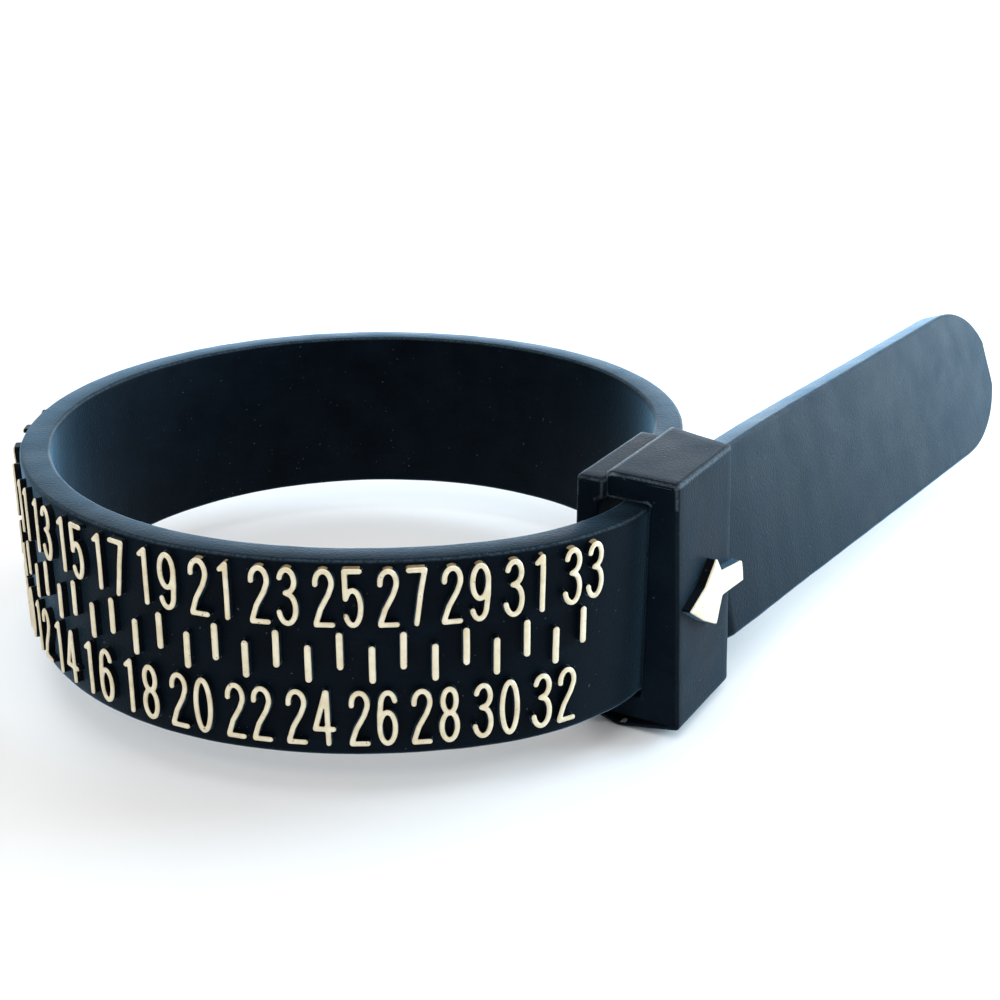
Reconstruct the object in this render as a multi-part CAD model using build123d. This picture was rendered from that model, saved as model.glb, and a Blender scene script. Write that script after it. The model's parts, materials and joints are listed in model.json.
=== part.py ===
from build123d import *
import os
from math import atan2, cos, degrees, hypot, radians, sin

# Ring sizer belt: a thin moulded band closed into a loop by a slotted buckle.
# Millimetres and degrees. +Z is the loop's axis. The origin is the loop's centre, at mid height of the band.
# Angles around the loop are polar angles, anticlockwise from +X, and the sizes read anticlockwise.

# Band
BAND_HEIGHT = 7.6
BAND_THICK = 1.2
LOOP_RADIUS = 13.64  # to the middle of the band's thickness
LINK_GAP = 0.08  # clearance around a link's round end
OPEN_GAP = 0.15  # the same, where the loop ends at the buckle

# Where the band's middle line enters the buckle, and the way it runs there
MOUTH = (9.65, -8.53)
RUN_HEADING = 55.5
STRAIGHT_BEFORE = 4.4  # straight stretch in front of the buckle
TAIL_LENGTH = 37.8  # from the mouth to the tip of the tail
TIP_RISE = 5.4  # length of the tail's half-elliptical tip

# Sizes printed in relief: 33 next to the buckle, down to 1
SIZE_PITCH = 4.475  # degrees of the loop for each size
ANGLE_OF_33 = -54.05
LINK_SIZES = [32, 26, 20, 14, 7.5, 1.5]  # the size at each joint of the numbered stretch
BLANK_LINKS = 4  # joints on the round part after the numbers end
BLANK_STEP = 25.65
FLAT_JOINTS = [(10.72, 8.2), (12.68, 2.63)]  # joints on the flatter stretch that leads to the buckle
ANCHOR = (11.87, -2.89)  # where the loop's other end meets the buckle

# Relief
RELIEF = 0.36
STROKE = 0.24
GLYPH_HALF = 0.3  # half width of a digit's centre lines
GLYPH_TOP = 1.02  # half height of a digit's centre lines
DIGIT_PITCH = 1.0
ODD_ROW = 2.5  # height of the middle of the odd sizes
EVEN_ROW = -2.15
TICK_LENGTH = 1.48
TICK_WIDTH = 0.27
ODD_TICK = 0.48
EVEN_TICK = -0.04

# Buckle: its own axes are RUN along its length and OUT away from the loop
BUCKLE_CORNER = (9.38, -8.6)  # the front corner on the loop's side
BUCKLE_HEADING = 60.5
BUCKLE_LENGTH = 5.15
BUCKLE_BACK = 6.0  # length on the loop's side, where the back face slants
BUCKLE_TOP = 5.0
BUCKLE_WIDTH_TOP = 2.95
BUCKLE_WIDTH_BOTTOM = 3.45
BUCKLE_EDGE = 0.3  # rounding of the edges away from the loop
FOOT_DEPTH = 0.45  # how far the underside reaches below -BUCKLE_TOP
FOOT_SPAN = (0.8, 1.1)  # where it is lowest, measured outwards
SLOT_FRONT = (-0.55, 1.8)  # the slot's two walls at the front face, and further back, measured outwards
SLOT_BACK = (-0.04, 2.2)
SLOT_HALF_HEIGHT = 3.97
SLOT_OVERRUN = 0.5  # how far the cut for the slot runs past both faces
FLANGE_THICK = 1.0
FLANGE_TOP = 4.8
FLANGE_FRONT = -0.35
FLANGE_BACK = 5.35
STUB_OVERLAP = 1.0  # how far the band's fixed end reaches into the flange
ARROW_RELIEF = 0.42
# The arrow's outline on the outer face, as (along the buckle, height)
ARROW_TIP = [(0.35, -0.05), (2.75, 1.15), (3.25, 0.47)]
ARROW_SHAFT = [(5.3, 0.13), (5.45, -0.72)]
ARROW_BARB = [(3.3, -0.52), (2.72, -1.5)]

HALF_T = BAND_THICK / 2
HALF_H = BAND_HEIGHT / 2


def polar(angle, radius=LOOP_RADIUS):
    return (radius * cos(radians(angle)), radius * sin(radians(angle)))


def step(point, heading, length):
    return (point[0] + length * cos(radians(heading)), point[1] + length * sin(radians(heading)))


def heading_between(a, b):
    return degrees(atan2(b[1] - a[1], b[0] - a[0]))


def size_angle(size):
    return ANGLE_OF_33 - (33 - size) * SIZE_PITCH


def bow(a, b, turn):
    """The clockwise arc from a to b that turns by this many degrees: centre, radius, start angle, turn."""
    chord = hypot(b[0] - a[0], b[1] - a[1])
    radius = chord / (2 * sin(radians(turn) / 2))
    centre = step(a, heading_between(a, b) - 90 + turn / 2, radius)
    return centre, radius, heading_between(centre, a), turn


def joint_points():
    """The pivots of the loop, from the buckle's mouth clockwise round to the anchor."""
    points = [step(MOUTH, RUN_HEADING, -STRAIGHT_BEFORE)]
    points += [polar(size_angle(size)) for size in LINK_SIZES[1:]]
    last = size_angle(LINK_SIZES[-1])
    points += [polar(last - BLANK_STEP * count) for count in range(1, BLANK_LINKS + 1)]
    return points + FLAT_JOINTS + [ANCHOR]


def link_arcs(points):
    """One arc for each link. The links that leave the round part are tangent to what they leave."""
    arcs = []
    for a, b in zip(points, points[1:]):
        chord = heading_between(a, b)
        if a == points[0]:
            turn = 2 * (chord - size_angle(LINK_SIZES[1]) + 90)
        elif b in FLAT_JOINTS + [ANCHOR]:
            _, _, start, turned = arcs[-1]
            turn = 2 * (start - turned - 90 - chord)
        else:
            turn = heading_between((0, 0), a) - heading_between((0, 0), b)
        # a chord runs against the arc's clockwise sense by half its turn
        arcs.append(bow(a, b, (turn + 180) % 360 - 180))
    return arcs


def upright(sketch, height):
    return extrude(Pos(0, 0, -height / 2) * sketch, amount=height)


def disc(point, radius):
    return Pos(point[0], point[1]) * Circle(radius)


def link_solid(arc, a, b):
    """A curved link, hollowed round its near pivot. Its far end is round, or hollow where the loop is open."""
    centre, radius, start, turn = arc
    outer = CenterArc(centre, radius + HALF_T, start - turn, turn)
    inner = CenterArc(centre, radius - HALF_T, start - turn, turn)
    sector = make_face([outer, Line(outer @ 1, inner @ 1), inner, Line(inner @ 0, outer @ 0)])
    hollowed = sector - disc(a, HALF_T + LINK_GAP)
    if b == ANCHOR:
        return upright(hollowed - disc(b, HALF_T + OPEN_GAP), BAND_HEIGHT)
    return upright(hollowed + disc(b, HALF_T), BAND_HEIGHT)


def band_plane():
    """On the straight band's outer face: X along the band towards the tail, Y up."""
    across = RUN_HEADING - 90
    origin = step(MOUTH, across, HALF_T)
    along = (cos(radians(RUN_HEADING)), sin(radians(RUN_HEADING)), 0)
    out = (cos(radians(across)), sin(radians(across)), 0)
    return Plane(origin=(*origin, 0), x_dir=along, z_dir=out)


def arc_plane(arc, fraction):
    """On a link's outer face, this fraction of the way along its arc: X towards the buckle's mouth, Y up."""
    centre, radius, start, turn = arc
    angle = start - turn * fraction
    origin = step(centre, angle, radius + HALF_T)
    out = (cos(radians(angle)), sin(radians(angle)), 0)
    return Plane(origin=(*origin, 0), x_dir=(-out[1], out[0], 0), z_dir=out)


def tail_solid(first):
    straight = TAIL_LENGTH - TIP_RISE
    length = straight + STRAIGHT_BEFORE
    flat = Pos(length / 2 - STRAIGHT_BEFORE, 0) * Rectangle(length, BAND_HEIGHT)
    tip = Pos(straight, 0) * Ellipse(TIP_RISE, HALF_H)
    plate = extrude(band_plane() * (flat + tip), amount=-BAND_THICK)
    return plate + upright(disc(first, HALF_T), BAND_HEIGHT)


def line(x0, y0, x1, y1):
    length = hypot(x1 - x0, y1 - y0)
    middle = Pos((x0 + x1) / 2, (y0 + y1) / 2)
    return middle * Rot(0, 0, heading_between((x0, y0), (x1, y1))) * SlotOverall(length + STROKE, STROKE)


def curve(y, start, sweep, x=0.0, radius=GLYPH_HALF):
    return SlotArc(CenterArc((x, y), radius, start, sweep), height=STROKE)


def loop_stroke(low, high):
    """A tall closed loop between these heights."""
    w = GLYPH_HALF
    bends = curve(high - w, 0, 180) + curve(low + w, 180, 180)
    return bends + line(-w, low + w, -w, high - w) + line(w, low + w, w, high - w)


def glyph(digit):
    w = GLYPH_HALF
    t = GLYPH_TOP
    bend = t - w
    if digit == "0":
        return loop_stroke(-t, t)
    if digit == "1":
        return line(0.05, t, 0.05, -t) + line(0.05, t, -0.2, t - 0.28)
    if digit == "2":
        return curve(bend, -30, 210) + line(0.26, bend - 0.15, -w, -t) + line(-w, -t, w, -t)
    if digit == "3":
        top = curve(bend, 0, 160) + line(w, bend, w, 0.42) + curve(0.42, -90, 90)
        return top + curve(-0.18, 0, 90) + line(w, -0.18, w, -bend) + curve(-bend, -160, 160)
    if digit == "4":
        return line(0.1, t, -0.36, -0.46) + line(-0.36, -0.46, 0.36, -0.46) + line(0.15, 0.9, 0.15, -t)
    if digit == "5":
        top = line(-w, t, w, t) + line(-w, t, -w, 0.06)
        return top + curve(0.06, 0, 180) + line(w, 0.06, w, -bend) + curve(-bend, -160, 160)
    if digit == "6":
        return loop_stroke(-t, 0.34) + line(-w, 0, -w, bend) + curve(bend, 20, 160)
    if digit == "7":
        return line(-w, t, w, t) + line(w, t, -0.1, -t)
    if digit == "8":
        return loop_stroke(-t, 0.1) + loop_stroke(0.1, t)
    return loop_stroke(-0.34, t) + line(w, 0, w, -bend) + curve(-bend, 200, 160)


def digit_offsets(size):
    """Each digit of a size with its place beside the size's middle."""
    text = str(size)
    first = -DIGIT_PITCH * (len(text) - 1) / 2
    return [(digit, first + DIGIT_PITCH * place) for place, digit in enumerate(text)]


def raised(plane, sketch, amount=RELIEF):
    return extrude(plane * sketch, amount=amount)


def row_height(size):
    return ODD_ROW if size % 2 else EVEN_ROW


def tick(size):
    height = ODD_TICK if size % 2 else EVEN_TICK
    return Pos(0, height) * Rot(0, 0, 90) * SlotOverall(TICK_LENGTH, TICK_WIDTH)


def tail_relief():
    """Size 33, the right-hand digit of 32 and both ticks, on the straight band."""
    plane = band_plane()
    pitch = radians(SIZE_PITCH) * LOOP_RADIUS
    digits = []
    ticks = []
    for size in (32, 33):
        middle = (size - 32) * pitch - STRAIGHT_BEFORE
        ticks.append(raised(plane, Pos(middle, 0) * tick(size)))
        for digit, offset in digit_offsets(size):
            if size == 33 or offset > 0:
                digits.append(raised(plane, Pos(middle + offset, row_height(size)) * glyph(digit)))
    return digits, ticks


def link_relief(arc, high, low):
    """The digits and ticks that fall between the sizes at a link's two ends."""
    length = radians(arc[3]) * (arc[1] + HALF_T)
    digits = []
    ticks = []
    for size in range(32, 0, -1):
        middle = (high - size) / (high - low)
        if low <= size < high:
            ticks.append(raised(arc_plane(arc, middle), tick(size)))
        for digit, offset in digit_offsets(size):
            fraction = middle - offset / length
            if 0 < fraction < 1:
                plane = arc_plane(arc, fraction)
                digits.append(raised(plane, Pos(0, row_height(size)) * glyph(digit)))
    return digits, ticks


def block_plane():
    """The buckle's own axes at its front corner: X out, Y along its length, Z up."""
    along = radians(BUCKLE_HEADING)
    return Plane(origin=(*BUCKLE_CORNER, 0), x_dir=(sin(along), -cos(along), 0), z_dir=(0, 0, 1))


def slot_solid():
    front = FLANGE_FRONT - SLOT_OVERRUN
    back = BUCKLE_BACK + SLOT_OVERRUN
    front_edge = [(SLOT_FRONT[0], front), (SLOT_FRONT[1], front)]
    back_edge = [(SLOT_BACK[1], back), (SLOT_BACK[0], back)]
    plan = Polyline(*front_edge, *back_edge, close=True)
    return upright(make_face(plan), 2 * SLOT_HALF_HEIGHT)


def block_solid():
    foot = -BUCKLE_TOP - FOOT_DEPTH
    section = Polyline(
        (0, -BUCKLE_TOP - FOOT_DEPTH / 2),
        (FOOT_SPAN[0], foot),
        (FOOT_SPAN[1], foot),
        (BUCKLE_WIDTH_BOTTOM, -BUCKLE_TOP),
        (BUCKLE_WIDTH_TOP, BUCKLE_TOP),
        (0, BUCKLE_TOP),
        close=True,
    )
    bar = extrude(Plane.XZ * make_face(section), amount=-BUCKLE_BACK)
    beyond = BUCKLE_WIDTH_BOTTOM + BUCKLE_EDGE
    plan = Polyline(
        (0, 0),
        (beyond, 0),
        (beyond, BUCKLE_LENGTH),
        (BUCKLE_WIDTH_BOTTOM, BUCKLE_LENGTH),
        (0, BUCKLE_BACK),
        close=True,
    )
    bar = bar & upright(make_face(plan), 4 * BUCKLE_TOP)
    outside = bar.edges().filter_by(lambda edge: edge.center().X > SLOT_BACK[1])
    bar = fillet(outside, BUCKLE_EDGE)
    return block_plane() * (bar - slot_solid())


def flange_solid():
    """The band's fixed end: a wall on the buckle's loop side, and a stub that the loop meets."""
    local = block_plane().to_local_coords(Vector(*ANCHOR, 0))
    on_corner = (Align.MIN, Align.MIN, Align.CENTER)
    length = FLANGE_BACK - FLANGE_FRONT
    flange = Pos(-FLANGE_THICK, FLANGE_FRONT) * Box(FLANGE_THICK, length, 2 * FLANGE_TOP, align=on_corner)
    stub_front = FLANGE_BACK - STUB_OVERLAP
    stub = Pos(local.X - HALF_T, stub_front) * Box(
        BAND_THICK, local.Y - stub_front, BAND_HEIGHT, align=on_corner
    )
    wall = flange + stub - slot_solid() + upright(disc((local.X, local.Y), HALF_T), BAND_HEIGHT)
    return block_plane() * wall


def arrow_solid():
    """The raised arrow on the buckle's outer face. It points at the mouth, to the size being read."""
    lean = atan2(BUCKLE_WIDTH_BOTTOM - BUCKLE_WIDTH_TOP, 2 * BUCKLE_TOP)
    middle = (BUCKLE_WIDTH_BOTTOM + BUCKLE_WIDTH_TOP) / 2
    face = Plane(origin=(middle, 0, 0), x_dir=(0, 1, 0), z_dir=(cos(lean), 0, sin(lean)))
    outline = Polyline(*ARROW_TIP, *ARROW_SHAFT, *ARROW_BARB, close=True)
    return block_plane() * extrude(face * make_face(outline), amount=ARROW_RELIEF)


def save(name, shape):
    solids = shape if isinstance(shape, list) else [shape]
    whole = solids[0] if len(solids) == 1 else Compound(children=solids)
    whole.label = name
    export_step(whole, f"parts/{name}.step")


os.makedirs("parts", exist_ok=True)
points = joint_points()
arcs = link_arcs(points)

save("buckle_block", block_solid())
save("buckle_flange", flange_solid())
save("buckle_arrow", arrow_solid())

save("tail_band", tail_solid(points[0]))
digits, ticks = tail_relief()
save("tail_sizes", digits)
save("tail_ticks", ticks)

for number, (arc, a, b) in enumerate(zip(arcs, points, points[1:]), 1):
    save(f"link_{number:02d}", link_solid(arc, a, b))
    if number <= len(LINK_SIZES):
        high = LINK_SIZES[number - 1]
        digits, ticks = link_relief(arc, high, high - round(arc[3] / SIZE_PITCH, 1))
        save(f"sizes_{number:02d}", digits)
        save(f"ticks_{number:02d}", ticks)
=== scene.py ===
import json
import math

import bpy
import numpy as np
from mathutils import Matrix, Vector, geometry, noise

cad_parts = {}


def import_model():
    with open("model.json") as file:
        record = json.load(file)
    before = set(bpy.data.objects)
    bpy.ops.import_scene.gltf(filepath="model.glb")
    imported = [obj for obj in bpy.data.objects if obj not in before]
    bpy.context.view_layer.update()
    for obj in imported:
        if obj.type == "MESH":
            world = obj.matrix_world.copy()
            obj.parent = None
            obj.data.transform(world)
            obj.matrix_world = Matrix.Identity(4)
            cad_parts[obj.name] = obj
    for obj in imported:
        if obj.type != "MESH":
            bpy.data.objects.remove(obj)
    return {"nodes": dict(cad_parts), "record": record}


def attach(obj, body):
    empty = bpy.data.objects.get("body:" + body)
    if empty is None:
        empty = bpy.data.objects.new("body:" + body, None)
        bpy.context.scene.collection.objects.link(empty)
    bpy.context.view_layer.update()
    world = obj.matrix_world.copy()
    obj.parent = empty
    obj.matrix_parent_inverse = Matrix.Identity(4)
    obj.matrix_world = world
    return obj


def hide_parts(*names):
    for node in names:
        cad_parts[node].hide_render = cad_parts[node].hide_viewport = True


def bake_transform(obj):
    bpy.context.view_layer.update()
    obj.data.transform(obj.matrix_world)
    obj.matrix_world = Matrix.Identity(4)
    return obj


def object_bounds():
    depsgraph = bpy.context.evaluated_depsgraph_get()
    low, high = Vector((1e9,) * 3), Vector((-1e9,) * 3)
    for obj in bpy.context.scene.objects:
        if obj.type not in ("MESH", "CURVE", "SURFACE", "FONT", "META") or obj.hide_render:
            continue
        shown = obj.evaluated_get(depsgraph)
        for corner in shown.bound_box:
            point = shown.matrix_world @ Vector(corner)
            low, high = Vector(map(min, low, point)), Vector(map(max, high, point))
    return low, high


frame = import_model()
cad_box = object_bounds()

# Lengths are written in millimetres and turned into metres by MM.
MM = 0.001

# The band, in the frame of the CAD model
BAND_THICK = 1.2
BAND_HEIGHT = 7.6
HALF_T = BAND_THICK / 2
HALF_H = BAND_HEIGHT / 2
LOOP_RADIUS = 13.64
STRAIGHT_BEFORE = 4.4
TAIL_LENGTH = 37.8
TIP_RISE = 5.4  # length of the tail's half-elliptical tip
ANCHOR = (11.87, -2.89)
FIXED_END = 1.1  # how far the band's fixed end runs on past its last pivot, into the flange
CORNER = 0.15  # rounding of the band's four edges
CORNER_STEPS = 4  # in each of them, an even number
# Rows of points on each face, as parts of the half height that is flat
FACE_ROWS = (-0.96, -0.8, -0.4, 0, 0.4, 0.8, 0.96)
RING_SPACING = 0.15  # along the band
TIP_RINGS = 24  # along the tail's rounded tip
TIP_RING_GAP = 0.05  # the least gap between the last of these and the ring after it
TIP_END_SCALE = 0.004  # part of the band's height that is left at the very tip
TIP_EASE = 0.3  # length over which the tip's end thins out
TIP_THINNEST = 0.1  # part of the thickness that is left there

# The band's middle line, as it is worked out
PATH_STEP = 0.05
PATH_RUN_ON = 3  # how far the line goes on past both ends of the band
STRAIGHT = 1e-4  # radians: a smaller turn counts as none
SOFTEN = 0.9  # how widely each bend is spread along the line
SOFTEN_STEPS = 60  # how many steps to each side the spreading takes in

# Unevenness of the moulded surfaces
WOBBLE = 0.012
WOBBLE_CELLS = 0.9  # to a millimetre
noise.seed_set(1)  # left unseeded, this noise is different on each run

# Sizes in relief
LARGEST_SIZE = 33
LINK_SIZES = [32, 26, 20, 14, 7.5, 1.5]  # the size at each of the first six pivots
SIZE_ANGLE = 4.475  # degrees round the loop from one size to the next
SIZE_PITCH = math.radians(SIZE_ANGLE) * LOOP_RADIUS
RELIEF = 0.31
STROKE = 0.195  # width of the strokes that draw a digit
DIGIT_HALF = 0.275  # half the width of a digit, to the middle of its strokes
DIGIT_TOP = 1.01  # half its height, measured the same way
DIGIT_PITCH = 0.97
ODD_ROW = 2.5  # height of the middle of the upper row of digits
EVEN_ROW = -2.15
TICK_HALF = 0.605
TICK_WIDTH = 0.245
ODD_TICK = 0.48  # height of the middle of an odd size's tick
EVEN_TICK = -0.04


# The buckle's own axes: OUT of the loop, and RUN along its length
BUCKLE_CORNER = Vector((9.38, -8.6, 0))
BUCKLE_HEADING = math.radians(60.5)
RUN = Vector((math.cos(BUCKLE_HEADING), math.sin(BUCKLE_HEADING), 0))
OUT = Vector((math.sin(BUCKLE_HEADING), -math.cos(BUCKLE_HEADING), 0))


# ---------------------------------------------------------------- the band's middle line

# How far the band leans, in degrees, at lengths beyond the mouth towards the tip
LEAN_AT = [0, 2.5, 6, 12, 20, 34]
LEAN = [0, 4, 13.5, 16, 17.5, 20]
# How far it bows out of line where it is pressed into the slot, at lengths from the mouth round the loop
BOW_AT = [-12, -8, -5, -2, 0, 1, 2, 3.2, 4.4]
BOW = [0, 0.15, 0.2, 0.6, 1.0, 1.0, 0.8, 0.45, 0]


def pivots():
    """Where the bending joints are, and which way the tail slides, as the CAD record has them."""
    joints = {joint["name"]: joint for joint in frame["record"]["behaviour"]["joints"]}
    names = sorted(name for name in joints if name.startswith("bend_"))
    points = [Vector(joints[name]["pos_m"][:2]) / MM for name in names]
    return points, Vector(joints["band_slide"]["axis"][:2])


def arc_points(a, b, turn):
    """Points along the clockwise arc from a to b, without b."""
    chord = b - a
    count = max(2, round(chord.length / PATH_STEP))
    if abs(turn) < STRAIGHT:
        return [a + chord * (k / count) for k in range(count)]
    radius = chord.length / (2 * math.sin(turn / 2))
    side = Vector((chord.y, -chord.x)).normalized()
    centre = (a + b) / 2 + side * radius * math.cos(turn / 2)
    spoke = a - centre
    return [centre + Matrix.Rotation(-turn * k / count, 2) @ spoke for k in range(count)]


def raw_path():
    """From the tail's tip, through the buckle and clockwise round the loop, to inside the flange."""
    points, run = pivots()
    anchor = Vector(ANCHOR)
    knots = points + [anchor]
    chords = [b - a for a, b in zip(knots, knots[1:])]
    bends = [a.angle_signed(b) for a, b in zip(chords, chords[1:])]
    turns = [bends[0]] + [(a + b) / 2 for a, b in zip(bends, bends[1:])] + [bends[-1]]
    mouth = points[0] + run * STRAIGHT_BEFORE
    path = arc_points(mouth + run * (TAIL_LENGTH + PATH_RUN_ON), points[0], 0)
    for a, b, turn in zip(knots, knots[1:], turns):
        path += arc_points(a, b, turn)
    inward = -RUN.xy
    path += arc_points(anchor, anchor + inward * (FIXED_END + PATH_RUN_ON), 0)
    return np.array(path), mouth, points


def bowed(raw, mouth):
    """The path with the bow that the buckle's slot gives the straight stretch."""
    lengths = np.concatenate([[0], np.cumsum(np.hypot(*np.diff(raw, axis=0).T))])
    lengths -= lengths[int(np.hypot(*(raw - np.array(mouth)).T).argmin())]
    along = np.gradient(raw, lengths, axis=0)
    outward = np.stack([-along[:, 1], along[:, 0]], 1)
    return raw + outward * np.interp(lengths, BOW_AT, BOW)[:, None]


class Band:
    """The band's middle line.

    s is the length along it from the buckle's mouth, clockwise round the loop, in millimetres.
    """

    def __init__(self):
        raw, mouth, points = raw_path()
        raw = bowed(raw, mouth)
        reach = SOFTEN_STEPS
        offsets = np.arange(-reach, reach + 1)
        weights = np.exp(-0.5 * (offsets * PATH_STEP / SOFTEN) ** 2)
        weights /= weights.sum()
        padded = np.vstack([2 * raw[0] - raw[reach:0:-1], raw, 2 * raw[-1] - raw[-2 : -reach - 2 : -1]])
        smooth = np.stack([np.convolve(padded[:, k], weights, "valid") for k in (0, 1)], 1)
        self.s = np.concatenate([[0], np.cumsum(np.hypot(*np.diff(smooth, axis=0).T))])
        self.points = smooth
        self.s -= self.nearest(mouth)
        self.pivots = [self.nearest(point) for point in points]
        self.end = self.nearest(ANCHOR)
        along = np.gradient(smooth, self.s, axis=0)
        along /= np.hypot(*along.T)[:, None]
        self.out = np.stack([-along[:, 1], along[:, 0]], 1)

    def nearest(self, point):
        """The length s of the line's point that is nearest to this one."""
        gaps = np.hypot(*(self.points - np.array(point)).T)
        return float(self.s[int(gaps.argmin())])

    def place(self, s, out, z):
        """The point at length s, so far out from the middle line and at height z, in millimetres."""
        lean = math.radians(float(np.interp(-s, LEAN_AT, LEAN)))
        x = np.interp(s, self.s, self.points[:, 0])
        y = np.interp(s, self.s, self.points[:, 1])
        nx = np.interp(s, self.s, self.out[:, 0])
        ny = np.interp(s, self.s, self.out[:, 1])
        # where the band leans, its upper edge stays in line, its lower edge swings out and its
        # middle keeps its height
        drop = HALF_H - z
        side = out * math.cos(lean) + drop * math.sin(lean)
        height = HALF_H - drop * math.cos(lean) + out * math.sin(lean) - HALF_H * (1 - math.cos(lean))
        return Vector((x + nx * side, y + ny * side, height))

    def size_at(self, size):
        """The length s at which a size stands."""
        known = [LARGEST_SIZE] + LINK_SIZES + [0]
        places = [self.pivots[0] - SIZE_PITCH] + self.pivots[: len(LINK_SIZES)]
        places.append(places[-1] + LINK_SIZES[-1] * SIZE_PITCH)
        return float(np.interp(-size, [-value for value in known], places))


band = Band()


# ---------------------------------------------------------------- meshes


def make_object(name, vertices, faces, materials, indices=None, wear=None):
    """A mesh from points in millimetres, with how worn each of them is; on the buckle's top edges that is
    partly a painted highlight.

    It stores its points as they are at rest, so that its texture moves with it.
    """
    mesh = bpy.data.meshes.new(name)
    mesh.from_pydata([Vector(v) * MM for v in vertices], [], faces)
    rest = mesh.attributes.new("rest", "FLOAT_VECTOR", "POINT")
    rest.data.foreach_set("vector", np.array(vertices, np.float32).ravel())
    worn = mesh.attributes.new("wear", "FLOAT", "POINT")
    worn.data.foreach_set("value", np.array(wear if wear else [0.0] * len(vertices), np.float32))
    for material in materials:
        mesh.materials.append(material)
    if indices:
        mesh.polygons.foreach_set("material_index", indices)
    mesh.polygons.foreach_set("use_smooth", [True] * len(mesh.polygons))
    mesh.update()
    made = bpy.data.objects.new(name, mesh)
    bpy.context.scene.collection.objects.link(made)
    return made


def band_profile():
    """The band's rounded section as (out, height, wear), going up its outer face first."""
    points = []
    for side, top, start in [(1, 1, 0), (-1, 1, 90), (-1, -1, 180), (1, -1, 270)]:
        if side == top:
            # up the outer face, or down the inner one
            for part in FACE_ROWS:
                points.append((side * HALF_T, side * part * (HALF_H - CORNER), 0.0))
        centre = (side * (HALF_T - CORNER), top * (HALF_H - CORNER))
        for step in range(CORNER_STEPS + 1):
            angle = math.radians(start + 90 * step / CORNER_STEPS)
            corner = (centre[0] + CORNER * math.cos(angle), centre[1] + CORNER * math.sin(angle))
            points.append((*corner, 1 - abs(2 * step / CORNER_STEPS - 1)))
    return points


def tip_scale(s):
    """How much of the band's height is left at length s, in the half-elliptical tip."""
    beyond = (-s - TAIL_LENGTH) / TIP_RISE + 1
    return math.sqrt(1 - min(max(beyond, 0), 1) ** 2)


def wobble(point):
    """Tiny unevenness of a moulded surface. It depends on the place alone, so pieces still meet."""
    return Vector(point) + noise.noise_vector(Vector(point) * WOBBLE_CELLS) * WOBBLE


def band_piece(name, start, stop, material):
    """A stretch of the band. It is open where the next stretch goes on from it."""
    profile = band_profile()
    count = max(2, round((stop - start) / RING_SPACING))
    lengths = [start + (stop - start) * k / count for k in range(count + 1)]
    tip_ends = TIP_RISE - TAIL_LENGTH
    has_tip = start < tip_ends
    if has_tip:
        angles = [math.pi / 2 * k / TIP_RINGS for k in range(TIP_RINGS + 1)]
        rounded = [-TAIL_LENGTH + TIP_RISE * (1 - math.cos(angle)) for angle in angles]
        lengths = rounded + [s for s in lengths if s > tip_ends + TIP_RING_GAP]
    vertices, wear = [], []
    for s in lengths:
        scale = max(tip_scale(s), TIP_END_SCALE)
        from_tip = min((s + TAIL_LENGTH) / TIP_EASE, 1)
        thin = max(math.sqrt(1 - (1 - from_tip) ** 2), TIP_THINNEST)
        for out, z, worn in profile:
            vertices.append(wobble(band.place(s, out * thin, z * scale)))
            wear.append(max(worn, 1 - from_tip))
    size = len(profile)
    faces = []
    for ring in range(len(lengths) - 1):
        for k in range(size):
            a, b = ring * size + k, ring * size + (k + 1) % size
            faces.append((a, b, b + size, a + size))
    if has_tip:
        faces.append(tuple(range(size))[::-1])
    return make_object(name, vertices, faces, [material], wear=wear)


# ---------------------------------------------------------------- relief: digits, ticks and arrow

FAR = 9.0  # farther than any point of a drawing is from its outline
NO_LENGTH = 1e-12  # added to a squared length, so that it is never nothing
LEVEL = 1e-9  # the least rise of a line that is worked with
OUTLINE_SPACING = 0.05  # between the points of an outline
OUTLINE_SMOOTHINGS = 2
LEAST_POINTS = 8
PROBE = 0.02  # how far beyond an outline its outside is tried


def ellipse(x, y, rx, ry, start, stop, count=18):
    """Points along part of an ellipse, by angle in degrees."""
    angles = [math.radians(start + (stop - start) * k / count) for k in range(count + 1)]
    return [(x + rx * math.cos(a), y + ry * math.sin(a)) for a in angles]


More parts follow.
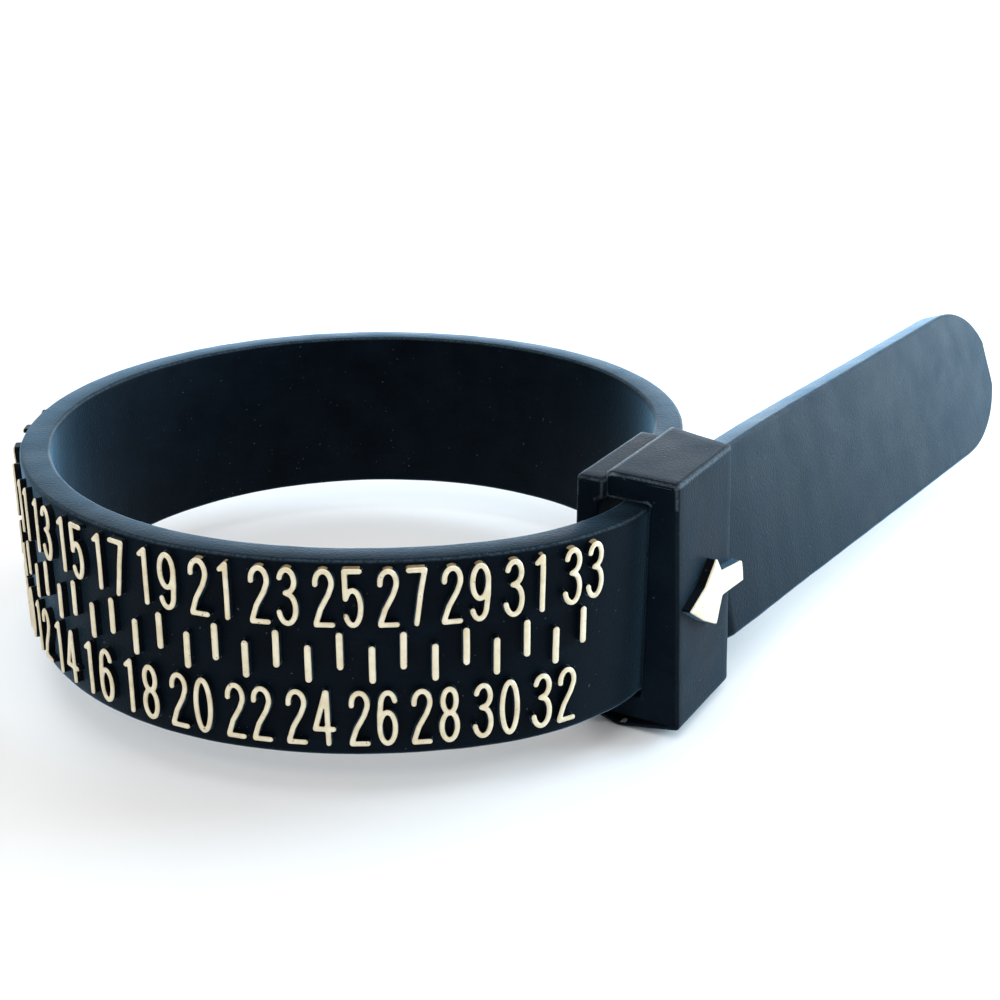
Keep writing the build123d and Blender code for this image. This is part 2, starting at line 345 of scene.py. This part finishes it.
def digit_strokes(digit):
    """The centre lines of a digit, as lists of points measured from its middle."""
    w, t = DIGIT_HALF, DIGIT_TOP
    if digit == "0":
        return [ellipse(0, 0, w, t, 0, 360, 40)]
    if digit == "1":
        return [[(-0.14, t - 0.2), (0.06, t), (0.06, -t)]]
    if digit == "2":
        hook = ellipse(0, t - 0.44, w, 0.44, 170, -20)
        return [[(-w, t - 0.5)] + hook + [(0.16, 0.12), (-0.12, -0.42), (-w, -t + 0.08), (-w, -t), (w, -t)]]
    if digit == "3":
        upper = ellipse(0, t - 0.42, w - 0.02, 0.42, 165, -70)
        lower = ellipse(-0.01, -t + 0.56, w + 0.02, 0.56, 70, -165)
        return [upper + [(-0.06, 0.14)], [(-0.06, 0.14)] + lower]
    if digit == "4":
        return [[(0.06, t), (-w - 0.04, -0.44), (w + 0.05, -0.44)], [(0.1, t), (0.14, -t)]]
    if digit == "5":
        bowl = ellipse(0.01, -t + 0.66, w, 0.66, 150, -150)
        return [[(w - 0.02, t), (-w + 0.02, t), (-w + 0.04, 0.1)] + bowl]
    if digit == "6":
        hook = ellipse(0.02, t - 0.5, w - 0.02, 0.5, 20, 180)
        return [hook + [(-w, 0.1), (-w, -0.3)], ellipse(0, -t + 0.62, w, 0.62, 0, 360, 36)]
    if digit == "7":
        return [[(-w, t), (w, t), (0.12, 0.1), (-0.02, -t)]]
    if digit == "8":
        return [ellipse(0, 0.55, w - 0.04, 0.47, 0, 360, 30), ellipse(0, -0.47, w, 0.55, 0, 360, 32)]
    hook = ellipse(-0.02, -t + 0.5, w - 0.02, 0.5, 200, 360)
    return [hook + [(w, -0.1), (w, 0.3)], ellipse(0, t - 0.62, w, 0.62, 0, 360, 36)]


def stroke_distance(strokes, x, y, half_width):
    """Signed distance from a set of round-ended strokes, negative inside."""
    best = np.full(x.shape, FAR)
    for stroke in strokes:
        for (x0, y0), (x1, y1) in zip(stroke, stroke[1:]):
            dx, dy = x1 - x0, y1 - y0
            squared = dx * dx + dy * dy + NO_LENGTH
            t = np.clip(((x - x0) * dx + (y - y0) * dy) / squared, 0, 1)
            best = np.minimum(best, np.hypot(x - x0 - t * dx, y - y0 - t * dy))
    return best - half_width


def polygon_distance(corners, x, y, rounding):
    """Signed distance from a polygon, negative inside, with its corners rounded."""
    edge = np.full(x.shape, FAR)
    inside = np.zeros(x.shape, bool)
    for (x0, y0), (x1, y1) in zip(corners, corners[1:] + corners[:1]):
        dx, dy = x1 - x0, y1 - y0
        t = np.clip(((x - x0) * dx + (y - y0) * dy) / (dx * dx + dy * dy), 0, 1)
        edge = np.minimum(edge, np.hypot(x - x0 - t * dx, y - y0 - t * dy))
        crosses = (y0 > y) != (y1 > y)
        rise = dy if abs(dy) > LEVEL else LEVEL
        inside ^= crosses & (x < x0 + (y - y0) * dx / rise)
    return np.where(inside, -edge, edge) - rounding


def outlines(distance, low, high, cell):
    """The zero line of a distance field as closed loops of points, by marching squares."""
    xs = np.arange(low[0], high[0] + cell, cell)
    ys = np.arange(low[1], high[1] + cell, cell)
    field = distance(*np.meshgrid(xs, ys))
    links = {}

    def crossing(j, i, vertical):
        # where the field is zero on the cell edge that goes up, or to the right, from (j, i)
        a = field[j, i]
        b = field[j + 1, i] if vertical else field[j, i + 1]
        part = a / (a - b)
        if vertical:
            return (xs[i], ys[j] + part * cell)
        return (xs[i] + part * cell, ys[j])

    places = {}
    inside = field < 0
    for j in range(len(ys) - 1):
        for i in range(len(xs) - 1):
            corners = (inside[j, i], inside[j, i + 1], inside[j + 1, i + 1], inside[j + 1, i])
            if all(corners) or not any(corners):
                continue
            edges = [(j, i, False), (j, i + 1, True), (j + 1, i, False), (j, i, True)]
            leaving = [edges[k] for k in range(4) if corners[k] and not corners[(k + 1) % 4]]
            entering = [edges[k] for k in range(4) if not corners[k] and corners[(k + 1) % 4]]
            for edge in leaving + entering:
                places[edge] = crossing(*edge)
            for a, b in zip(leaving, entering if len(leaving) == 1 else entering[::-1]):
                links[a] = b
    loops = []
    while links:
        key = next(iter(links))
        loop = []
        while key in links:
            loop.append(places[key])
            key = links.pop(key)
        loops.append(loop)
    return [even_loop(loop) for loop in loops if len(loop) > LEAST_POINTS]


def even_loop(loop):
    """The same closed loop, smoothed a little and with evenly spaced points."""
    points = np.array(loop + loop[:1])
    for _ in range(OUTLINE_SMOOTHINGS):
        inner = points[:-1]
        inner = (np.roll(inner, 1, 0) + 2 * inner + np.roll(inner, -1, 0)) / 4
        points = np.vstack([inner, inner[:1]])
    lengths = np.concatenate([[0], np.cumsum(np.hypot(*np.diff(points, axis=0).T))])
    count = max(LEAST_POINTS, round(lengths[-1] / OUTLINE_SPACING))
    at = np.linspace(0, lengths[-1], count, endpoint=False)
    return np.stack([np.interp(at, lengths, points[:, k]) for k in (0, 1)], 1)


def facing_out(loop, distance):
    """The loop turned so that its outside is on its right, and the outward direction at each point."""
    for turned in (loop, loop[::-1]):
        ahead = np.roll(turned, -1, 0) - np.roll(turned, 1, 0)
        outward = np.stack([ahead[:, 1], -ahead[:, 0]], 1)
        outward /= np.hypot(*outward.T)[:, None]
        probe = turned + outward * PROBE
        if distance(*probe.T).mean() > distance(*turned.T).mean():
            break
    return turned, outward


# How a relief rises: (inset from its outline, height as a part of the relief)
RISE = [(-0.03, -0.12), (0.0, 0.1), (0.005, 0.8), (0.018, 0.94), (0.045, 1.0)]
SIDE, GOLD, PAINTED_HIGHLIGHT = 0, 1, 2  # the numbers of its materials, the last a painted highlight on upper side faces
GOLD_FROM = 2  # the ring of faces from which the foil covers it
HIGHLIGHT_RING = 1  # the ring of side faces that gets a painted highlight, on its upper side
HIGHLIGHT_FACING = 0.8  # how far upward such a face looks
HIGHLIGHT_OVER = 1.0  # and how high up in a digit it has to be
HIGHLIGHT_FROM = 20  # on the odd sizes above this one
TO_MIDDLE = 0.96  # length along the band's middle for each length along its outer face


def relief_shape(distance, low, high, cell=0.02):
    """A raised shape: its vertices as (x, y, height part), its faces and their material numbers."""
    vertices, faces, indices, top = [], [], [], []
    for loop in outlines(distance, low, high, cell):
        loop, outward = facing_out(loop, distance)
        size = len(loop)
        first = len(vertices)
        for inset, height in RISE:
            ring = loop - outward * inset
            vertices += [(px, py, height) for px, py in ring]
        for ring in range(len(RISE) - 1):
            for k in range(size):
                a = first + ring * size + k
                b = first + ring * size + (k + 1) % size
                faces.append((a, b, b + size, a + size))
                index = GOLD if ring >= GOLD_FROM else SIDE
                # upward-looking side faces high up in a digit get a brownish painted highlight
                if ring == HIGHLIGHT_RING and outward[k][1] > HIGHLIGHT_FACING and loop[k][1] > HIGHLIGHT_OVER:
                    index = PAINTED_HIGHLIGHT
                indices.append(index)
        last = first + (len(RISE) - 1) * size
        top.append([(*vertices[last + k], last + k) for k in range(size)])
    corners = [[Vector((x, y, 0)) for x, y, _, _ in loop] for loop in top]
    flat = [index for loop in top for *_, index in loop]
    for triangle in geometry.tessellate_polygon(corners):
        a, b, c = (Vector(vertices[flat[k]]).xy for k in triangle)
        upward = (b - a).cross(c - a) > 0
        faces.append(tuple(flat[k] for k in (triangle if upward else triangle[::-1])))
        indices.append(GOLD)
    return vertices, faces, indices


# side faces that would carry the painted highlight stay plain black
def without_thin_foil(indices):
    return [SIDE if index == PAINTED_HIGHLIGHT else index for index in indices]


def strokes_shape(strokes, width, reach):
    """A raised shape drawn with round-ended strokes, which goes no farther than reach from its middle."""

    def distance(x, y):
        return stroke_distance(strokes, x, y, width / 2)

    return relief_shape(distance, (-reach[0], -reach[1]), reach)


def digit_shape(digit):
    return strokes_shape(digit_strokes(digit), STROKE, (DIGIT_HALF + STROKE, DIGIT_TOP + STROKE))


def tick_shape():
    line = [(0, -TICK_HALF), (0, TICK_HALF)]
    return strokes_shape([line], TICK_WIDTH, (TICK_WIDTH, TICK_HALF + TICK_WIDTH))


def mark_list():
    """Every digit and tick: its shape, the length s, the height, and whether its upper side faces get a
    painted highlight.
    """
    marks = []
    for size in range(LARGEST_SIZE, 0, -1):
        middle = band.size_at(size)
        odd = size % 2
        marks.append(("tick", middle, ODD_TICK if odd else EVEN_TICK, False))
        text = str(size)
        for place, digit in enumerate(text):
            right = (place - (len(text) - 1) / 2) * DIGIT_PITCH
            row = ODD_ROW if odd else EVEN_ROW
            marks.append((digit, middle - right * TO_MIDDLE, row, odd and size > HIGHLIGHT_FROM))
    return marks


def marks_piece(name, marks, shapes, materials):
    """Digits or ticks in relief, bent to the band."""
    vertices, faces, indices = [], [], []
    for shape, s, z, has_highlight in marks:
        points, shape_faces, shape_indices = shapes[shape]
        first = len(vertices)
        for x, y, height in points:
            vertices.append(wobble(band.place(s - x * TO_MIDDLE, HALF_T + RELIEF * height, z + y)))
        faces += [tuple(first + k for k in face) for face in shape_faces]
        indices += shape_indices if has_highlight else without_thin_foil(shape_indices)
    return make_object(name, vertices, faces, materials, indices)


# ---------------------------------------------------------------- the buckle

BUCKLE_LENGTH = 5.15  # along the outer face
BUCKLE_BACK = 6.0  # along the flange
BUCKLE_TOP = 5.0  # half the block's height
WIDTH_TOP = 2.95  # how far out the block's outer face is, at its top
WIDTH_BOTTOM = 3.45
BLOCK_ROUNDING = 0.14
FOOT = 0.45  # how far the foot goes down
FOOT_SPAN = (0.8, 1.1)  # where it is at its lowest
SLOT_HALF = 3.97  # half the slot's height
SLOT_OUTER = (1.8, 2.2)  # where the slot's outer wall is, at the front and at the back
SLOT_INNER = (-0.1, -0.04)  # and its inner wall
SLOT_MARGIN = 0.05  # points up to this far above or below the slot move with its walls
INNER_DEPTH = 0.1  # so do points up to this far behind its inner wall
OUTER_DEPTH = 0.3  # and behind its outer wall
FLANGE_THICK = 1.0
FLANGE_TOP = 4.8  # half the flange's height
FLANGE_OVERLAP = 0.12  # how far the flange goes into the block
FLANGE_SPAN = (-0.35, 5.35)  # where it starts and ends, along the buckle
FLANGE_ROUNDING = 0.1
ARROW_RELIEF = 0.42
ARROW_ROUNDING = 0.03
ARROW_CELL = 0.03

BAR_MARGIN = 0.2  # left round a section while its outline is found
BAR_CELL = 0.05
EASE = 0.16  # rounding of a bar's ends
EASE_RINGS = 6  # how many rings make that rounding
UNWORN_INSET = 0.05  # how far inside that rounding an end's face begins
MIDDLE_PARTS = np.linspace(0.1, 0.9, 9)  # where the rings between the ends are
WEAR_GAIN = 1.2  # a corner counts as fully worn a little before its full turn


def buckle_point(p, q, z):
    """A point by the buckle's own axes: p outward from its corner, q along it, and z up."""
    return BUCKLE_CORNER + OUT * p + RUN * q + Vector((0, 0, z))


def bar(name, corners, rounding, front, back, slide, rubbed, material):
    """A bar along the buckle with a rounded section, (p, z), and eased ends.

    It goes from front to back(p). slide(p, z) is how far a point of the section has moved sideways
    at the back, and rubbed(p, z) is how worn an edge is there; top edges get more of it as a painted
    highlight.
    """
    sides = shrunk(corners, rounding)

    def distance(p, z):
        return polygon_distance(sides, p, z, rounding)

    low = (min(p for p, _ in corners) - BAR_MARGIN, min(z for _, z in corners) - BAR_MARGIN)
    high = (max(p for p, _ in corners) + BAR_MARGIN, max(z for _, z in corners) + BAR_MARGIN)
    loop, outward = facing_out(outlines(distance, low, high, BAR_CELL)[0], distance)
    # each ring is (part of the way to the back, distance past that, how far its section has shrunk)
    angles = np.linspace(0, math.pi / 2, EASE_RINGS)
    front_rings = [(0.0, 0.0, EASE + UNWORN_INSET)]
    front_rings += [(0.0, EASE * (1 - math.cos(a)), EASE * (1 - math.sin(a))) for a in angles]
    middle_rings = [(part, 0.0, 0.0) for part in MIDDLE_PARTS]
    back_rings = [(1.0, -along, shrink) for _, along, shrink in front_rings[::-1]]
    rings = front_rings + middle_rings + back_rings
    vertices, wear = [], []
    turn = np.arccos(np.clip((outward * np.roll(outward, -2, 0)).sum(1), -1, 1))
    full_turn = 2 * OUTLINE_SPACING / rounding
    at_corner = np.clip(turn / full_turn * WEAR_GAIN, 0, 1)
    for part, along, shrink in rings:
        at_end = 4 * (shrink / EASE) * (1 - shrink / EASE)
        for (p, z), (side, up), worn in zip(loop, outward, at_corner):
            p, z = p - side * shrink, z - up * shrink
            q = front + (back(p) - front) * part + along
            shift = slide(p, z) * (q - front) / (back(p) - front)
            vertices.append(wobble(buckle_point(p + shift, q, z)))
            wear.append(0.0 if shrink > EASE else max(worn, at_end) * rubbed(p, z))
    size = len(loop)
    faces = []
    for ring in range(len(rings) - 1):
        for k in range(size):
            a, b = ring * size + k, ring * size + (k + 1) % size
            faces.append((b, a, a + size, b + size))
    ends = loop - outward * rings[0][2]
    for triangle in geometry.tessellate_polygon([[Vector((p, z, 0)) for p, z in ends]]):
        a, b, c = (Vector(ends[k]) for k in triangle)
        front_face = triangle if (b - a).cross(c - a) > 0 else triangle[::-1]
        faces.append(tuple(front_face))
        faces.append(tuple(len(vertices) - size + k for k in front_face[::-1]))
    return make_object(name, vertices, faces, [material], wear=wear)


def shrunk(corners, amount):
    """The corners of a polygon, listed anticlockwise, with its sides moved in by an amount."""
    result = []
    for before, here, after in zip(corners[-1:] + corners[:-1], corners, corners[1:] + corners[:1]):
        a = (Vector(here) - Vector(before)).normalized()
        b = (Vector(after) - Vector(here)).normalized()
        na, nb = Vector((-a.y, a.x)), Vector((-b.y, b.x))
        result.append(tuple(Vector(here) + (na + nb) * (amount / (1 + na.dot(nb)))))
    return result


def block_piece(material):
    foot = -BUCKLE_TOP - FOOT
    wall_reach = SLOT_OUTER[0] + OUTER_DEPTH
    corners = [
        (0, -BUCKLE_TOP - FOOT / 2), (FOOT_SPAN[0], foot), (FOOT_SPAN[1], foot),
        (WIDTH_BOTTOM, -BUCKLE_TOP), (WIDTH_TOP, BUCKLE_TOP), (0, BUCKLE_TOP), (0, SLOT_HALF),
        (SLOT_OUTER[0], SLOT_HALF), (SLOT_OUTER[0], -SLOT_HALF), (0, -SLOT_HALF),
    ]
    slot_shift = SLOT_OUTER[1] - SLOT_OUTER[0]

    def back(p):
        return BUCKLE_BACK + (BUCKLE_LENGTH - BUCKLE_BACK) * p / WIDTH_TOP

    def slide(p, z):
        return slot_shift if abs(z) < SLOT_HALF + SLOT_MARGIN and p < wall_reach else 0.0

    # top edges lighter than lower ones: wear, and partly a painted highlight
    def rubbed(p, z):
        if z < SLOT_HALF:
            return 0.25
        return 1.0 if p < 0.5 else 0.6

    return bar("buckle_block_shell", corners, BLOCK_ROUNDING, 0.0, back, slide, rubbed, material)


def flange_piece(material):
    inner = SLOT_INNER[0]
    outer = FLANGE_OVERLAP
    wall_reach = inner - INNER_DEPTH
    corners = [
        (-FLANGE_THICK, -FLANGE_TOP), (outer, -FLANGE_TOP), (outer, -SLOT_HALF), (inner, -SLOT_HALF),
        (inner, SLOT_HALF), (outer, SLOT_HALF), (outer, FLANGE_TOP), (-FLANGE_THICK, FLANGE_TOP),
    ]
    slot_shift = SLOT_INNER[1] - SLOT_INNER[0]

    def back(_):
        return FLANGE_SPAN[1]

    def slide(p, z):
        return slot_shift if abs(z) < SLOT_HALF + SLOT_MARGIN and p > wall_reach else 0.0

    # top edges lighter than lower ones: wear, and partly a painted highlight
    def rubbed(_, z):
        return 0.5 if z > SLOT_HALF else 0.25

    start = FLANGE_SPAN[0]
    return bar("buckle_flange_shell", corners, FLANGE_ROUNDING, start, back, slide, rubbed, material)


def arrow_piece(materials):
    """The arrow on the outer face, which leans. It points towards the loop's numbers."""
    lean = math.atan2(WIDTH_BOTTOM - WIDTH_TOP, 2 * BUCKLE_TOP)
    middle = (WIDTH_TOP + WIDTH_BOTTOM) / 2
    upper = [(0.35, -0.05), (1.75, 0.38), (2.75, 1.15), (3.25, 0.47)]
    shaft_end = [(5.3, 0.13), (5.45, -0.72)]
    lower = [(3.3, -0.52), (2.72, -1.5), (1.6, -0.9)]
    low, high = (0.0, -1.9), (5.8, 1.5)

    def distance(x, y):
        return polygon_distance(upper + shaft_end + lower, x, y, ARROW_ROUNDING)

    points, faces, indices = relief_shape(distance, low, high, ARROW_CELL)
    vertices = []
    for along, up, height in points:
        raised = ARROW_RELIEF * height
        out = middle + raised * math.cos(lean) - up * math.sin(lean)
        z = up * math.cos(lean) + raised * math.sin(lean)
        vertices.append(wobble(buckle_point(out, along, z)))
    return make_object("arrow_relief", vertices, faces, materials, without_thin_foil(indices))


# ---------------------------------------------------------------- materials


class Nodes:
    """A new material and short ways to add nodes to it."""

    def __init__(self, name):
        self.material = bpy.data.materials.new(name)
        self.material.use_nodes = True
        self.tree = self.material.node_tree
        self.shader = self.tree.nodes["Principled BSDF"]

    def add(self, kind, **inputs):
        node = self.tree.nodes.new(kind)
        for name, value in inputs.items():
            node.inputs[name.replace("_", " ")].default_value = value
        return node

    def link(self, output, target):
        self.tree.links.new(output, target)

    def attribute(self, name):
        node = self.add("ShaderNodeAttribute")
        node.attribute_name = name
        return node

    def noise(self, scale, detail=2.0, stretch=None):
        """Noise at so many cells a millimetre, fixed to the piece."""
        node = self.add("ShaderNodeTexNoise", Scale=scale, Detail=detail, Roughness=0.55)
        place = self.attribute("rest").outputs["Vector"]
        if stretch:
            mapping = self.add("ShaderNodeMapping", Scale=stretch)
            self.link(place, mapping.inputs["Vector"])
            place = mapping.outputs["Vector"]
        self.link(place, node.inputs["Vector"])
        return node.outputs["Fac"]

    def ramp(self, value, low, high, low_to=0.0, high_to=1.0):
        """value taken from low..high to low_to..high_to, and held there."""
        node = self.add(
            "ShaderNodeMapRange", From_Min=low, From_Max=high, To_Min=low_to, To_Max=high_to
        )
        self.link(value, node.inputs["Value"])
        return node.outputs["Result"]

    def times(self, a, b):
        node = self.add("ShaderNodeMath")
        node.operation = "MULTIPLY"
        self.link(a, node.inputs[0])
        self.link(b, node.inputs[1])
        return node.outputs["Value"]

    def mix(self, factor, a, b):
        """Colour a, a socket or a plain colour, with colour b laid over it by factor."""
        node = self.tree.nodes.new("ShaderNodeMix")
        node.data_type = "RGBA"
        self.link(factor, node.inputs["Factor"])
        # the colours' own sockets are inputs 6 and 7 and output 2
        for socket, colour in ((node.inputs[6], a), (node.inputs[7], b)):
            if isinstance(colour, tuple):
                socket.default_value = (*colour, 1)
            else:
                self.link(colour, socket)
        return node.outputs[2]

    def set(self, **inputs):
        """Plain values for the shader's own inputs."""
        for name, value in inputs.items():
            self.shader.inputs[name.replace("_", " ")].default_value = value

    def bump(self, heights):
        """Bumps one on another, as (value, height in millimetres)."""
        normal = None
        for value, height in heights:
            node = self.add("ShaderNodeBump", Strength=1.0, Distance=height * MM)
            self.link(value, node.inputs["Height"])
            if normal:
                self.link(normal, node.inputs["Normal"])
            normal = node.outputs["Normal"]
        self.link(normal, self.shader.inputs["Normal"])


def plastic(
    name,
    base=(0.0010, 0.0028, 0.0056),
    dust=(0.0035, 0.008, 0.014),
    wear_and_highlight_colour=(0.05, 0.085, 0.115),
    sheen=0.85,
):
    """Black plastic with dusty clouds, faint upright streaks, worn edges, lint and a blue sheen; on the
    buckle the worn edges are partly a painted highlight.
    """
    nodes = Nodes(name)
    shader = nodes.shader
    grain = nodes.noise(9.0, 3.0)
    cloud = nodes.noise(0.55, 3.0)
    lint = nodes.noise(6.5, 1.0)
    streak = nodes.noise(1.0, 4.0, (0.8, 0.8, 7.0))
    edge = nodes.attribute("wear").outputs["Fac"]
    colour = nodes.mix(nodes.ramp(cloud, 0.35, 0.75, 0.0, 0.6), base, dust)
    colour = nodes.mix(nodes.ramp(streak, 0.58, 0.75, 0.0, 0.15), colour, (0.009, 0.014, 0.02))
    # worn edges lightened: real wear, and on the buckle's top edges partly a painted highlight
    worn = nodes.times(nodes.ramp(edge, 0.2, 1.0), nodes.ramp(grain, 0.38, 0.62, 0.35, 1.0))
    colour = nodes.mix(nodes.ramp(worn, 0.0, 1.0, 0.0, 0.7), colour, wear_and_highlight_colour)
    colour = nodes.mix(nodes.ramp(lint, 0.765, 0.79, 0.0, 0.5), colour, (0.09, 0.11, 0.13))
    nodes.link(colour, shader.inputs["Base Color"])
    nodes.link(nodes.ramp(cloud, 0.3, 0.7, 0.42, 0.54), shader.inputs["Roughness"])
    nodes.bump([(cloud, 0.008), (grain, 0.014)])
    nodes.set(Specular_IOR_Level=0.035)
    nodes.set(Sheen_Weight=sheen, Sheen_Roughness=0.3, Sheen_Tint=(0.30, 0.60, 0.88, 1))
    return nodes.material


def foil(name, bright=(0.88, 0.80, 0.60), dull=(0.74, 0.63, 0.42)):
    """Stamped foil with duller clouds, bright grains and small pits."""
    nodes = Nodes(name)
    shader = nodes.shader
    grain = nodes.noise(12.0, 3.0)
    cloud = nodes.noise(2.2, 2.0)
    pit = nodes.noise(7.0, 2.0)
    colour = nodes.mix(nodes.ramp(cloud, 0.35, 0.7), bright, dull)
    colour = nodes.mix(nodes.ramp(grain, 0.6, 0.8, 0.0, 0.35), colour, (0.95, 0.9, 0.76))
    colour = nodes.mix(nodes.ramp(pit, 0.7, 0.74, 0.0, 0.8), colour, (0.08, 0.07, 0.05))
    nodes.link(colour, shader.inputs["Base Color"])
    nodes.link(nodes.ramp(cloud, 0.3, 0.7, 0.34, 0.5), shader.inputs["Roughness"])
    nodes.bump([(cloud, 0.02), (grain, 0.01)])
    nodes.set(Metallic=0.15, Specular_IOR_Level=0.5)
    return nodes.material


def floor_material():
    nodes = Nodes("stage_floor_white")
    cloud = nodes.noise(0.05)
    nodes.link(nodes.mix(cloud, (0.93, 0.93, 0.93), (0.95, 0.95, 0.95)), nodes.shader.inputs["Base Color"])
    nodes.set(Roughness=0.9, Specular_IOR_Level=0.1)
    return nodes.material


# ---------------------------------------------------------------- putting it together

FIRST_BREAK = 2.2  # how far before the first pivot the tail's piece ends

band_plastic = plastic("band_plastic_black")
# the buckle's edges lighten to a pale slate: wear, and partly a painted highlight on its top edges
buckle_plastic = plastic(
    "buckle_plastic_black",
    base=(0.0015, 0.0042, 0.008),
    dust=(0.005, 0.011, 0.018),
    wear_and_highlight_colour=(0.17, 0.22, 0.26),
    sheen=0.3,
)
relief_side = plastic("relief_side_black", (0.001, 0.0018, 0.003), (0.003, 0.004, 0.006))
gold = foil("gold_foil")
# a dark brownish copy of the foil, as a painted highlight on the digits' upper side faces
highlight_bronze = foil("bronze_painted_highlight", (0.30, 0.22, 0.10), (0.16, 0.11, 0.05))
RELIEF_MATERIALS = [relief_side, gold, highlight_bronze]

shapes = {digit: digit_shape(digit) for digit in "0123456789"}
shapes["tick"] = tick_shape()
marks = mark_list()


def midpoint(a, b):
    return (a + b) / 2


pivot_s = band.pivots
breaks = [pivot_s[0] - FIRST_BREAK]
breaks += [midpoint(a, b) for a, b in zip(pivot_s, pivot_s[1:] + [band.end])]
bodies = ["tail"] + [f"link_{k:02d}" for k in range(1, len(pivot_s) + 1)]

tail = band_piece("band_tail", -TAIL_LENGTH, breaks[0], band_plastic)
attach(tail, "tail")
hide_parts("tail_band")

for index, (start, stop) in enumerate(zip(breaks, breaks[1:])):
    low = -TAIL_LENGTH if index == 0 else start
    groups = {
        "sizes": [mark for mark in marks if low <= mark[1] < stop and mark[0] != "tick"],
        "ticks": [mark for mark in marks if low <= mark[1] < stop and mark[0] == "tick"],
    }
    made = [band_piece(f"band_{index:02d}", start, stop, band_plastic)]
    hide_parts(bodies[index + 1])
    for group, members in groups.items():
        if not members:
            continue
        relief = marks_piece(f"{group}_relief_{index:02d}", members, shapes, RELIEF_MATERIALS)
        covered = [f"{group}_{index + 1:02d}"] + ([f"tail_{group}"] if index == 0 else [])
        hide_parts(*[node for node in covered if node in frame["nodes"]])
        made.append(relief)
    for piece in made:
        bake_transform(piece)

last_half = band_piece("band_last_half", breaks[-1], band.end, band_plastic)
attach(last_half, bodies[-1])
fixed_end = band_piece("band_fixed_end", band.end, band.end + FIXED_END, band_plastic)
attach(fixed_end, "buckle")

block = block_piece(buckle_plastic)
flange = flange_piece(buckle_plastic)
arrow = arrow_piece(RELIEF_MATERIALS)
for piece, node, slot in (
    (block, "buckle_block", "band_plastic"),
    (flange, "buckle_flange", "band_plastic"),
    (arrow, "buckle_arrow", "gold_foil"),
):
    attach(piece, "buckle")
    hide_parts(node)

# ---------------------------------------------------------------- stage, lights and camera

# From here on lengths are in metres, apart from the camera's place, lens and sensor
FLOOR_REACH = 2.0
CAMERA_PLACE = (5.523, -63.805, 25.930)
CAMERA_DOWN = 21.826  # degrees that it looks down
CAMERA_ROLL = 0.427
CAMERA_LENS = 57.66
WORLD_STRENGTH = 0.58


def floor():
    z = cad_box[0].z
    reach = FLOOR_REACH
    corners = [(-reach, -reach, z), (reach, -reach, z), (reach, reach, z), (-reach, reach, z)]
    mesh = bpy.data.meshes.new("stage_floor")
    mesh.from_pydata(corners, [], [(0, 1, 2, 3)])
    mesh.materials.append(floor_material())
    made = bpy.data.objects.new("stage_floor", mesh)
    bpy.context.scene.collection.objects.link(made)


def softbox(name, azimuth, elevation, distance, size, watts, colour=(1, 1, 1)):
    """A soft light that faces the middle of the object. Azimuth 0 is the camera's side, 90 is +X."""
    a, e = math.radians(azimuth), math.radians(elevation)
    middle = (cad_box[0] + cad_box[1]) / 2
    way = Vector((math.sin(a) * math.cos(e), -math.cos(a) * math.cos(e), math.sin(e)))
    light = bpy.data.lights.new(name, "AREA")
    light.shape = "RECTANGLE"
    light.size, light.size_y = size
    light.energy = watts
    light.color = colour
    made = bpy.data.objects.new(name, light)
    made.location = middle + way * distance
    made.rotation_mode = "QUATERNION"
    made.rotation_quaternion = way.to_track_quat("Z", "Y")
    bpy.context.scene.collection.objects.link(made)


def camera():
    elevation, roll = math.radians(CAMERA_DOWN), math.radians(CAMERA_ROLL)
    right = Vector((1, 0, 0))
    up = Vector((0, math.sin(elevation), math.cos(elevation)))
    back = Vector((0, -math.cos(elevation), math.sin(elevation)))
    side = right * math.cos(roll) + up * math.sin(roll)
    top = up * math.cos(roll) - right * math.sin(roll)
    data = bpy.data.cameras.new("camera")
    data.lens = CAMERA_LENS
    data.sensor_width = 36
    data.clip_start = 0.001
    data.clip_end = 20
    made = bpy.data.objects.new("camera", data)
    place = Vector(CAMERA_PLACE) * MM
    turned = Matrix((side, top, back)).transposed().to_4x4()
    made.matrix_world = Matrix.Translation(place) @ turned
    bpy.context.scene.collection.objects.link(made)
    bpy.context.scene.camera = made


def world():
    made = bpy.data.worlds.new("studio")
    made.use_nodes = True
    made.node_tree.nodes["Background"].inputs["Color"].default_value = (1, 1, 1, 1)
    made.node_tree.nodes["Background"].inputs["Strength"].default_value = WORLD_STRENGTH
    bpy.context.scene.world = made


floor()
softbox("key_front_top", -8, 60, 0.45, (0.35, 0.35), 0.62)
softbox("back_left", 208, 24, 0.40, (0.14, 0.20), 0.28, (0.85, 0.95, 1.0))
softbox("back_right", 146, 26, 0.40, (0.14, 0.20), 0.2, (0.85, 0.95, 1.0))
softbox("right", 108, 14, 0.15, (0.10, 0.08), 0.42, (0.62, 0.84, 1.0))
softbox("overhead", 180, 82, 0.45, (0.5, 0.5), 0.5)
softbox("back_low", 172, 6, 0.5, (0.4, 0.10), 1.2, (0.95, 0.98, 1.0))
camera()
world()
bpy.context.scene.view_settings.view_transform = "Standard"
